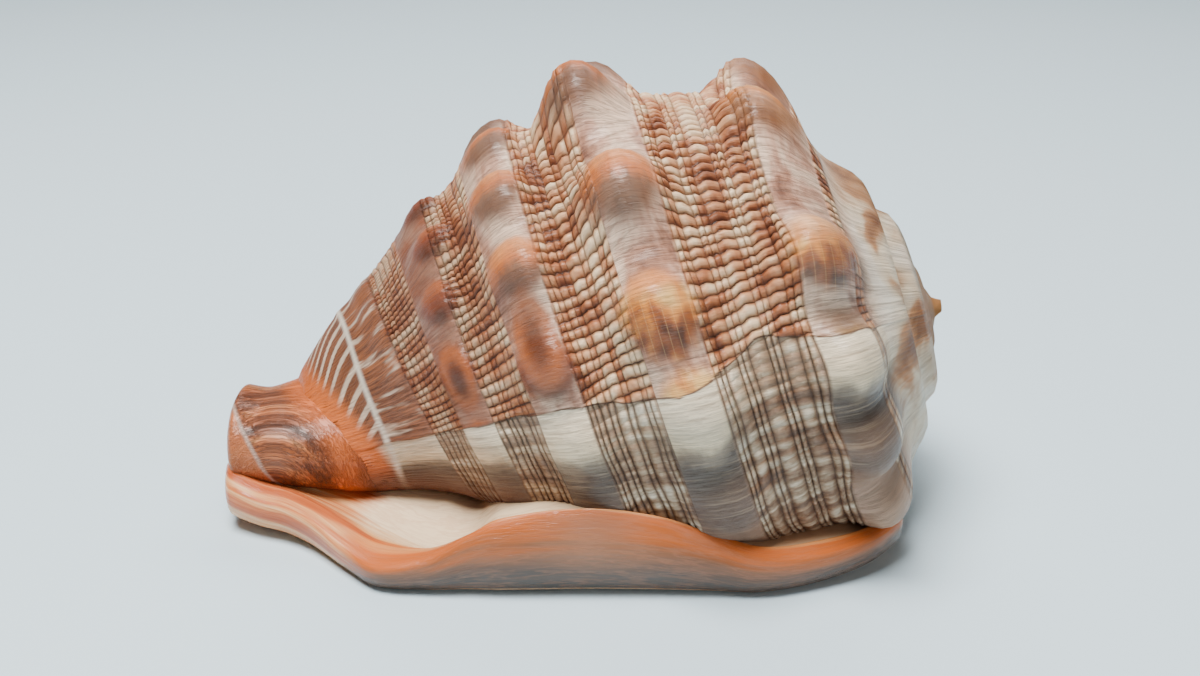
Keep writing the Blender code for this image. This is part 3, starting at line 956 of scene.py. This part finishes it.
pores_group, pores_in, pores_out = new_group("pores", (("Size", 900.0),), ("Height", "Wear"))
pore_place = put(pores_group, "TexCoord").outputs["Object"]
pore_noise = put(pores_group, "TexNoise", {"Vector": pore_place, "Scale": pores_in["Size"], "Detail": 3.0})
wear_noise = noise(pores_group, pore_place, 60.0, 4.0)
pores_group.links.new(pore_noise.outputs["Fac"], pores_out["Height"])
pores_group.links.new(wear_noise, pores_out["Wear"])
print("groups:", [group.name for group in bpy.data.node_groups])


def use_group(tree, group, inputs=None):
    """Places a node group in a material."""
    node = put(tree, "Group", node_tree=group)
    for name, value in (inputs or {}).items():
        if isinstance(value, bpy.types.NodeSocket):
            tree.links.new(value, node.inputs[name])
        else:
            node.inputs[name].default_value = value
    return node.outputs


def finish_shader(tree, shader, colour, roughness, height, depth):
    """Joins colour, roughness and bump to the shader, under a thin natural gloss."""
    bump = put(tree, "Bump", {"Height": height, "Distance": depth * MM, "Strength": 1.0})
    tree.links.new(colour, shader.inputs["Base Color"])
    tree.links.new(roughness, shader.inputs["Roughness"])
    tree.links.new(bump.outputs["Normal"], shader.inputs["Normal"])
    shader.inputs["Coat Weight"].default_value = 0.12
    shader.inputs["Coat Roughness"].default_value = 0.16
    shader.inputs["IOR"].default_value = 1.45


# %% [markdown]
# ## The back of the shell
#
# The back is matt to half glossy and painted by growth: reddish tan and mauve clouds, cream and peach beads
# with dark grooves between them, rust-coloured knobs. The grooves, the lower sides of the knobs and the
# crevices along the shield are darkened partly in the shell's own colours and partly with painted shade.
# Where growth paused there is a thin dark line, and below it the shell starts again in creamy white that
# turns to grey brown. The narrow end is brown with white stripes. All of it is laid out on the turn and the
# place that the mesh carries.

# %% Back of the shell, ground
back, tree, shader = new_material("back_of_shell")
turn_mark = mark(tree, "turn")
place_mark = mark(tree, "place")
rib_mark = mark(tree, "rib")
cord_mark = mark(tree, "cord")
band_mark = mark(tree, "band")
knob_mark = mark(tree, "knob")
side_mark = mark(tree, "side")
after_mark = mark(tree, "after")
ridge_mark = mark(tree, "ridge")

clouds = noise(tree, pair(tree, turn_mark, place_mark, 0.055, 0.10), 1.0, 4.0, 0.6, 0.4)
colour = colours(tree, clouds, (
    (0.34, (0.20, 0.085, 0.055)),
    (0.42, (0.42, 0.205, 0.130)),
    (0.49, (0.63, 0.370, 0.260)),
    (0.58, (0.84, 0.600, 0.440)),
))
front_brown = step(tree, place_mark, 78.0, 98.0)
colour = over(tree, colour, (0.22, 0.055, 0.018), times(tree, front_brown, 0.80))
growth_marks = use_group(tree, lines_group, {"Along": turn_mark, "Across": place_mark, "Width": 0.035})
young = step(tree, after_mark, 0.3, -0.3)
in_band = step(tree, band_mark, 0.12, 0.4)
smooth_zone = less(tree, 1.0, in_band)
line_share = times(tree, growth_marks["Lines"], times(tree, smooth_zone, 0.5))
colour = over(tree, colour, (0.09, 0.04, 0.025), line_share)

# %% Back of the shell, beads
rib_fold = times(tree, calc(tree, "PINGPONG", rib_mark, 0.5), 2.0)
cord_fold = times(tree, calc(tree, "PINGPONG", cord_mark, 0.5), 2.0)


def rounded(tree, fold):
    """Turns a straight fold into a cushion with a narrow groove."""
    return less(tree, 1.0, calc(tree, "POWER", less(tree, 1.0, fold), 2.4))


rib_cushion = rounded(tree, rib_fold)
cord_cushion = rounded(tree, cord_fold)
old_bead = times(tree, rib_cushion, times_plus(tree, cord_cushion, 0.45, 0.55))
young_bead = times(tree, cord_cushion, times_plus(tree, rib_cushion, 0.35, 0.65))
bead = put(tree, "Mix", {"Factor": young, "A": old_bead, "B": young_bead}).outputs["Result"]

rib_number = calc(tree, "FLOOR", rib_mark)
cord_number = calc(tree, "FLOOR", cord_mark)
rib_tint = put(tree, "TexWhiteNoise", {"W": rib_number}, noise_dimensions="1D").outputs["Value"]
bead_tint = put(tree, "TexWhiteNoise", {"Vector": pair(tree, rib_number, cord_number)}, noise_dimensions="2D")
cord_tint = put(tree, "TexWhiteNoise", {"W": cord_number}, noise_dimensions="1D").outputs["Value"]
bead_clouds = noise(tree, pair(tree, turn_mark, place_mark, 0.10, 0.16), 1.0, 3.0)
bead_value = times_plus(tree, rib_tint, 0.16, times_plus(tree, cord_tint, 0.16, bead_clouds))
bead_value = times_plus(tree, bead_tint.outputs["Value"], 0.14, bead_value)
bead_colour = colours(tree, less(tree, bead_value, 0.145), (
    (0.36, (0.24, 0.072, 0.027)),
    (0.47, (0.47, 0.170, 0.070)),
    (0.58, (0.72, 0.360, 0.180)),
    (0.71, (0.93, 0.670, 0.420)),
))
bead_colour = over(tree, bead_colour, (0.24, 0.065, 0.022), times(tree, front_brown, 0.45))
# Painted shade: each bead darkens from its crest into its grooves. This is partly the grooves' own darker
# colour and partly painted shade of the relief.
bead_shade_and_groove_tint = colours(tree, bead, (
    (0.00, (0.22, 0.13, 0.09)),
    (0.45, (0.66, 0.53, 0.45)),
    (0.85, (1.0, 1.0, 1.0)),
))
bead_colour = over(tree, bead_colour, bead_shade_and_groove_tint, 0.85, "MULTIPLY")
colour = over(tree, colour, bead_colour, in_band)

# %% Back of the shell, knobs
knob_share = step(tree, knob_mark, 0.25, 0.72)
side_clouds = noise(tree, pair(tree, turn_mark, place_mark, 0.09, 0.4), 1.0, 3.0)
# Side value: each knob is lighter on its upper side and darker on its lower side. This is partly the knobs'
# own orange and brown and partly painted shade.
side_value = times_plus(tree, side_mark, 0.5, times_plus(tree, side_clouds, 0.3, 0.35))
row_one = step(tree, place_mark, 42.0, 38.0)
row_three = times(tree, step(tree, place_mark, 68.0, 72.0), step(tree, after_mark, 34.0, 18.0))
row_three = calc(tree, "MAXIMUM", row_three, step(tree, place_mark, 89.0, 94.0))
knob_colour = colours(tree, side_value, (
    (0.18, (0.10, 0.046, 0.026)),
    (0.38, (0.20, 0.085, 0.044)),
    (0.52, (0.56, 0.140, 0.026)),
    (0.78, (0.86, 0.31, 0.085)),
))
knob_one_colour = colours(tree, side_value, (
    (0.22, (0.20, 0.068, 0.022)),
    (0.42, (0.46, 0.21, 0.10)),
    (0.58, (0.68, 0.23, 0.055)),
    (0.80, (0.86, 0.47, 0.22)),
))
knob_three_colour = colours(tree, side_value, (
    (0.25, (0.065, 0.014, 0.004)),
    (0.50, (0.21, 0.038, 0.008)),
    (0.75, (0.42, 0.105, 0.026)),
))
knob_colour = over(tree, knob_colour, knob_one_colour, row_one)
knob_colour = over(tree, knob_colour, knob_three_colour, row_three)

# Golden knobs next to the pause: darker towards it, on their lower side, partly in their own colour and
# partly as painted shade, with soft patches and pale spiral lines
golden_value = times_plus(tree, side_mark, 0.62, 0.52)
patch_tint = noise(tree, pair(tree, turn_mark, place_mark, 0.20, 0.34), 1.0, 1.0, 0.5, 0.0)
golden_value = times_plus(tree, less(tree, patch_tint, 0.5), 0.9, golden_value)
golden = colours(tree, golden_value, (
    (0.15, (0.07, 0.016, 0.004)),
    (0.38, (0.33, 0.080, 0.012)),
    (0.58, (0.72, 0.25, 0.032)),
    (0.85, (0.90, 0.52, 0.16)),
))
spiral_line = step(tree, calc(tree, "PINGPONG", times(tree, place_mark, 0.55), 0.5), 0.10, 0.0)
golden = over(tree, golden, (0.86, 0.50, 0.18), times(tree, spiral_line, 0.22))
golden_share = times(tree, near(tree, after_mark, 8.0, 15.0), less(tree, 1.0, row_three))
knob_colour = over(tree, knob_colour, golden, step(tree, golden_share, 0.05, 0.35))
knob_lines = times(tree, growth_marks["Lines"], 0.35)
knob_colour = over(tree, knob_colour, (0.13, 0.06, 0.035), knob_lines)
colour = over(tree, colour, knob_colour, times(tree, knob_share, 0.92))
for square_place, reach, square_after, length in ((82.0, 7.0, 15.0, 16.0), (100.8, 5.0, 14.0, 14.0)):
    square = times(tree, near(tree, place_mark, square_place, reach), near(
        tree, after_mark, square_after, length
    ))
    square_share = step(tree, square, 0.10, 0.45)
    square_colour = over(tree, (0.40, 0.105, 0.028), (0.085, 0.020, 0.006), step(tree, square, 0.45, 1.0))
    square_share = times(tree, square_share, times(tree, smooth_zone, 0.85))
    colour = over(tree, colour, square_colour, square_share)
knob_foot = times(tree, near(tree, after_mark, 2.0, 7.0), near(tree, place_mark, 23.0, 8.5))
colour = over(tree, colour, (0.13, 0.062, 0.032), times(tree, knob_foot, 0.85))

# %% Back of the shell, after the pause
age = put(tree, "MapRange", {"Value": after_mark, "From Min": -70.0, "From Max": 0.0}).outputs["Result"]
age = calc(tree, "ADD", age, times(tree, less(tree, clouds, 0.5), 0.10))
young_colour = colours(tree, age, (
    (0.08, (0.24, 0.130, 0.085)),
    (0.24, (0.48, 0.300, 0.200)),
    (0.42, (0.36, 0.220, 0.150)),
    (0.58, (0.12, 0.080, 0.060)),
    (0.77, (0.07, 0.055, 0.045)),
    (0.82, (0.24, 0.190, 0.135)),
    (0.86, (0.84, 0.67, 0.44)),
    (1.00, (0.96, 0.83, 0.62)),
))
young_streaks = noise(tree, pair(tree, turn_mark, place_mark, 1.1, 0.05), 1.0, 3.0, 0.6)
young_colour = over(tree, young_colour, (0.34, 0.25, 0.17), times(tree, step(
    tree, young_streaks, 0.50, 0.68
), 0.55))
young_value = noise(tree, pair(tree, turn_mark, place_mark, 0.30, 0.07), 1.0, 4.0, 0.6)
young_band = colours(tree, times_plus(tree, rib_tint, 0.12, young_value), (
    (0.42, (0.15, 0.080, 0.048)),
    (0.52, (0.34, 0.205, 0.120)),
    (0.60, (0.56, 0.430, 0.290)),
    (0.70, (0.84, 0.730, 0.560)),
))
# The same mix of groove colour and painted shade darkens the young beads towards their grooves.
young_band = over(tree, young_band, bead_shade_and_groove_tint, 0.9, "MULTIPLY")
young_colour = over(tree, young_colour, young_band, times(tree, in_band, 0.85))
young_colour = over(tree, young_colour, (0.20, 0.13, 0.09), times(tree, growth_marks["Lines"], 0.35))
colour = over(tree, colour, young_colour, times(tree, young, 0.95))
pause_line = times(tree, near(tree, after_mark, 0.0, 0.40), step(tree, growth_marks["Ripple"], 0.14, 0.24))
colour = over(tree, colour, (0.13, 0.06, 0.03), pause_line)

# %% Back of the shell, grooves
ragged = noise(tree, pair(tree, turn_mark, place_mark, 0.35, 0.45), 1.0, 4.0, 0.7)
line_strength = step(tree, ragged, 0.36, 0.60)
rib_groove = times(tree, calc(tree, "POWER", less(tree, 1.0, rib_fold), 5.0), step(
    tree, after_mark, -4.0, 3.0
))
cord_groove = times(tree, calc(tree, "POWER", less(tree, 1.0, cord_fold), 5.0), in_band)
groove = times(tree, rib_groove, times_plus(tree, in_band, 0.55, 0.45))
groove = times(tree, groove, times_plus(tree, line_strength, 0.65, 0.35))
groove = times(tree, groove, times_plus(tree, knob_share, -0.75, 1.0))
groove = calc(tree, "MAXIMUM", groove, times(tree, cord_groove, times_plus(tree, young, -0.18, 0.5)))
groove = times(tree, groove, step(tree, place_mark, 10.0, 17.0))
# The grooves are darkened partly in the shell's own dark brown and partly with painted shade. The shallow
# cord grooves are mostly painted shade.
colour = over(tree, colour, (0.075, 0.035, 0.022), times(tree, groove, 0.85))

# %% Back of the shell, narrow end and spire
past_start = calc(tree, "MAXIMUM", times(tree, less(tree, place_mark, 121.0), 1.0 / 12.0), 0.0)
stripe_bend = calc(tree, "POWER", past_start, 2.0)
stripe_turn = times_plus(tree, stripe_bend, 48.0, turn_mark)
stripe_noise = noise(tree, pair(tree, stripe_turn, place_mark, 0.1, 0.02))
stripe_count = times_plus(tree, stripe_noise, 0.5, times(tree, stripe_turn, 0.1))
stripe = step(tree, calc(tree, "PINGPONG", stripe_count, 0.5), 0.23, 0.10)
front_lines = use_group(tree, lines_group, {"Along": stripe_turn, "Across": place_mark, "Width": 0.05})
front_colour = over(tree, (0.31, 0.105, 0.042), (0.08, 0.026, 0.012), front_lines["Lines"])
before_ridge = step(tree, ridge_mark, 0.2, -0.4)
cream_patch = step(tree, noise(tree, pair(tree, turn_mark, place_mark, 0.17, 0.06), 1.0, 3.0), 0.52, 0.66)
patch_or_stripe = put(tree, "Mix", {"Factor": before_ridge, "A": stripe, "B": cream_patch}).outputs["Result"]
front_colour = over(tree, front_colour, (0.78, 0.61, 0.46), times(tree, patch_or_stripe, 0.85))
front_share = step(tree, place_mark, 111.5, 114.0)
colour = over(tree, colour, front_colour, times(tree, front_share, step(tree, after_mark, -3.0, 3.0)))
colour = over(tree, colour, (0.80, 0.70, 0.58), near(tree, ridge_mark, 0.0, 0.9))
near_join = step(tree, mark(tree, "join"), 6.5, 3.0)
umbilical = calc(tree, "MAXIMUM", step(tree, place_mark, 129.5, 132.5), near_join)
umbilical = times(tree, umbilical, step(tree, place_mark, 116.0, 121.0))
# The umbilical slope is glazed orange, its own colour. It turns dark brown towards the crevice under it as
# painted shade.
umbilical_glaze_and_shade = over(tree, (0.62, 0.145, 0.028), (0.10, 0.022, 0.008), step(tree, turn_mark, 108.0, 80.0))
colour = over(tree, colour, umbilical_glaze_and_shade, umbilical)
# Painted shade: dark brown in the crevice where the body's lower edge meets the shield.
crevice_shade_share = times(tree, step(tree, turn_mark, 96.0, 80.0), step(tree, place_mark, 92.0, 104.0))
colour = over(tree, colour, (0.13, 0.036, 0.014), times(tree, crevice_shade_share, 0.85))

object_place = put(tree, "TexCoord").outputs["Object"]
spire_clouds = noise(tree, object_place, 65.0, 3.0, 0.55, 0.5)
spire_colour = colours(tree, spire_clouds, (
    (0.34, (0.20, 0.080, 0.035)),
    (0.43, (0.50, 0.245, 0.110)),
    (0.50, (0.80, 0.650, 0.460)),
    (0.62, (0.92, 0.840, 0.700)),
))
spire_colour = over(tree, spire_colour, (0.22, 0.12, 0.08), times(tree, growth_marks["Lines"], 0.5))
apex_share = times(tree, step(tree, place_mark, 6.5, 1.5), 0.75)
spire_colour = over(tree, spire_colour, (0.50, 0.22, 0.08), apex_share)
colour = over(tree, colour, spire_colour, step(tree, place_mark, 17.0, 11.0))
colour = over(tree, colour, (0.60, 0.27, 0.09), step(tree, place_mark, -0.4, -1.2))

# %% Back of the shell, gloss and bump
pores = use_group(tree, pores_group, {"Size": 700.0})
roughness = times_plus(tree, groove, 0.30, times_plus(tree, pores["Wear"], 0.25, 0.30))
height = times_plus(tree, groove, -0.35, times(tree, pores["Height"], 0.10))
height = times_plus(tree, growth_marks["Lines"], -0.12, height)
height = times_plus(tree, times(tree, bead, in_band), 1.0, height)
finish_shader(tree, shader, colour, roughness, height, 0.7)
print(back.name, "has", len(tree.nodes), "nodes")

# %% [markdown]
# ## Glaze of the shield
#
# The shield and lip are enamel: thick, smooth and glossy, laid down layer on layer along the mouth. The
# colours run as streaks along the shell, from orange on the shoulder of the roll to cream beside the body
# and grey peach below. The dark grey on the lower face of the near rim is painted shade. The streaks are
# noise that is stretched along the shell.

# %% Shield glaze
shield_glaze, tree, shader = new_material("shield_glaze")
object_place = put(tree, "TexCoord").outputs["Object"]
axes = put(tree, "SeparateXYZ", {"Vector": object_place}).outputs
round_mark = mark(tree, "round")
along_mm = times(tree, axes["X"], 1000.0)
streaks = noise(tree, pair(tree, along_mm, round_mark, 0.02, 1.5), 1.0, 5.0, 0.6, 0.5)
shifted = times_plus(tree, less(tree, streaks, 0.5), 2.4, round_mark)
# The darkest stops, at the start and end of the row, lie on the lower face of the near rim and are painted
# shade. The other stops are the glaze's own colours.
glaze_colour = colours(tree, times(tree, shifted, 1.0 / 18.0), (
    (0.000, (0.055, 0.045, 0.038)),
    (0.035, (0.085, 0.056, 0.042)),
    (0.072, (0.24, 0.105, 0.055)),
    (0.105, (0.50, 0.118, 0.024)),
    (0.150, (0.60, 0.130, 0.024)),
    (0.185, (0.84, 0.400, 0.140)),
    (0.220, (0.92, 0.700, 0.450)),
    (0.420, (0.84, 0.640, 0.440)),
    (0.560, (0.74, 0.400, 0.230)),
    (0.680, (0.80, 0.560, 0.380)),
    (0.800, (0.60, 0.220, 0.080)),
    (0.950, (0.74, 0.480, 0.310)),
    (1.000, (0.24, 0.165, 0.120)),
))
coral = colours(tree, streaks, (
    (0.36, (0.42, 0.075, 0.020)),
    (0.48, (0.60, 0.150, 0.045)),
    (0.57, (0.80, 0.380, 0.155)),
    (0.68, (0.92, 0.660, 0.390)),
))
dull_share = times(tree, near(tree, along_mm, 2.0, 15.0), near(tree, round_mark, 1.8, 1.6))
glaze_colour = over(tree, glaze_colour, (0.30, 0.165, 0.105), times(tree, dull_share, 0.6))
narrow_end = step(tree, along_mm, -44.0, -56.0)
rim_part = step(tree, round_mark, 3.8, 2.6)
wavy_along = times_plus(tree, less(tree, streaks, 0.5), 30.0, along_mm)
coral_share = calc(tree, "MAXIMUM", times(tree, narrow_end, rim_part), step(tree, wavy_along, -40.0, -47.0))
glaze_colour = over(tree, glaze_colour, coral, coral_share)
spire_end = times(tree, step(tree, along_mm, 22.0, 34.0), step(tree, round_mark, 3.3, 4.1))
glaze_colour = over(tree, glaze_colour, (0.42, 0.19, 0.095), times(tree, spire_end, 0.75))
slit_stain = step(tree, mark(tree, "slit"), 9.0, 1.0)
glaze_colour = over(tree, glaze_colour, (0.22, 0.07, 0.03), times(tree, slit_stain, 0.8))
lip_patch = noise(tree, pair(tree, along_mm, round_mark, 0.045, 0.35), 1.0, 2.0)
lip_share = times(tree, near(tree, round_mark, 9.5, 2.5), step(tree, lip_patch, 0.52, 0.60))
glaze_colour = over(tree, glaze_colour, (0.34, 0.14, 0.07), times(tree, lip_share, 0.7))
pores = use_group(tree, pores_group, {"Size": 500.0})
glaze_lines = use_group(tree, lines_group, {
    "Along": times(tree, round_mark, 3.0), "Across": along_mm, "Width": 0.04,
})
glaze_colour = over(tree, glaze_colour, (0.50, 0.20, 0.10), times(tree, glaze_lines["Lines"], 0.25))
roughness = times_plus(tree, pores["Wear"], 0.18, 0.14)
height = times_plus(tree, glaze_lines["Lines"], -0.12, times(tree, pores["Height"], 0.05))
finish_shader(tree, shader, glaze_colour, roughness, height, 0.3)

# %% [markdown]
# ## Canal, throat and teeth
#
# The fold at the canal carries strong brown growth lines that run in arcs round its foot, so they are drawn
# by the distance from one point. Left of a pale rim it is glazed like the shield. The throat is a dark
# orange brown, and the teeth are white.

# %% Canal
FOLD_FOOT = Vector((-61.0, -20.0, 9.0)) - Vector(MIDDLE)

canal_skin, tree, shader = new_material("canal_skin")
object_place = put(tree, "TexCoord").outputs["Object"]
axes = put(tree, "SeparateXYZ", {"Vector": object_place}).outputs
round_mark = mark(tree, "round")
along_mm = times(tree, axes["X"], 1000.0)
foot = put(tree, "VectorMath", {0: object_place, 1: FOLD_FOOT * MM}, operation="DISTANCE").outputs["Value"]
arc = times(tree, foot, 1000.0)
arc_lines = use_group(tree, lines_group, {
    "Along": times(tree, arc, 0.9), "Across": round_mark, "Width": 0.05,
})
arc_clouds = noise(tree, pair(tree, arc, round_mark, 0.22, 0.012), 1.0, 4.0, 0.6)
fold_colour = colours(tree, arc_clouds, (
    (0.36, (0.11, 0.030, 0.010)),
    (0.45, (0.25, 0.070, 0.024)),
    (0.54, (0.44, 0.130, 0.042)),
    (0.66, (0.62, 0.270, 0.110)),
))
fold_colour = over(tree, fold_colour, (0.05, 0.014, 0.005), times(tree, arc_lines["Lines"], 0.75))
rim_x = times_plus(tree, less(tree, round_mark, 90.0), 11.0 / 115.0, -74.0)
past_rim = less(tree, along_mm, rim_x)
glazed = over(tree, (0.40, 0.080, 0.022), (0.66, 0.25, 0.095), arc_clouds)
fold_colour = over(tree, fold_colour, glazed, step(tree, past_rim, 0.6, -0.6))
fold_colour = over(tree, fold_colour, (0.62, 0.46, 0.38), times(tree, near(tree, past_rim, 0.0, 0.9), 0.7))
# The hollow where canal meets body is glazed orange, its own colour. It darkens towards the body as painted
# shade in the valley.
join_glaze_and_shade = over(tree, (0.60, 0.135, 0.026), (0.09, 0.020, 0.007), step(tree, along_mm, -49.0, -41.0))
fold_colour = over(tree, fold_colour, join_glaze_and_shade, times(tree, step(tree, mark(tree, "join"), 6.0, 1.5), 0.9))
pores = use_group(tree, pores_group, {"Size": 600.0})
roughness = times_plus(tree, pores["Wear"], 0.25, 0.34)
height = times_plus(tree, arc_lines["Lines"], -0.5, times(tree, pores["Height"], 0.10))
finish_shader(tree, shader, fold_colour, roughness, height, 0.5)


# %% Throat and teeth
def streaked(name, dark, light, scale):
    """A simple glossy finish with two colours in cloudy streaks."""
    material, tree, shader = new_material(name)
    place = put(tree, "TexCoord").outputs["Object"]
    clouds = noise(tree, place, scale, 4.0)
    pores = use_group(tree, pores_group, {"Size": 600.0})
    colour = over(tree, dark, light, step(tree, clouds, 0.38, 0.62))
    roughness = times_plus(tree, pores["Wear"], 0.2, 0.16)
    finish_shader(tree, shader, colour, roughness, times(tree, pores["Height"], 0.1), 0.3)
    return material


throat = streaked("throat", (0.26, 0.085, 0.035), (0.52, 0.22, 0.10), 90.0)
tooth_enamel = streaked("tooth_enamel", (0.78, 0.60, 0.44), (0.86, 0.78, 0.66), 220.0)

for piece, material in ((body, back), (plate, shield_glaze), (canal, canal_skin), (teeth, tooth_enamel)):
    piece.data.materials.append(material)
    print(piece.name, "is finished in", material.name)

cut_mouth(plate, 0.0, throat)
cut_mouth(body, 0.25, throat)
cut_mouth(canal, 0.5, throat)

# %% Ride on the root body
shell_pieces = (body, plate, canal, teeth)
for piece in shell_pieces:
    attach(piece, "root")
    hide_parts("helmet_shell")
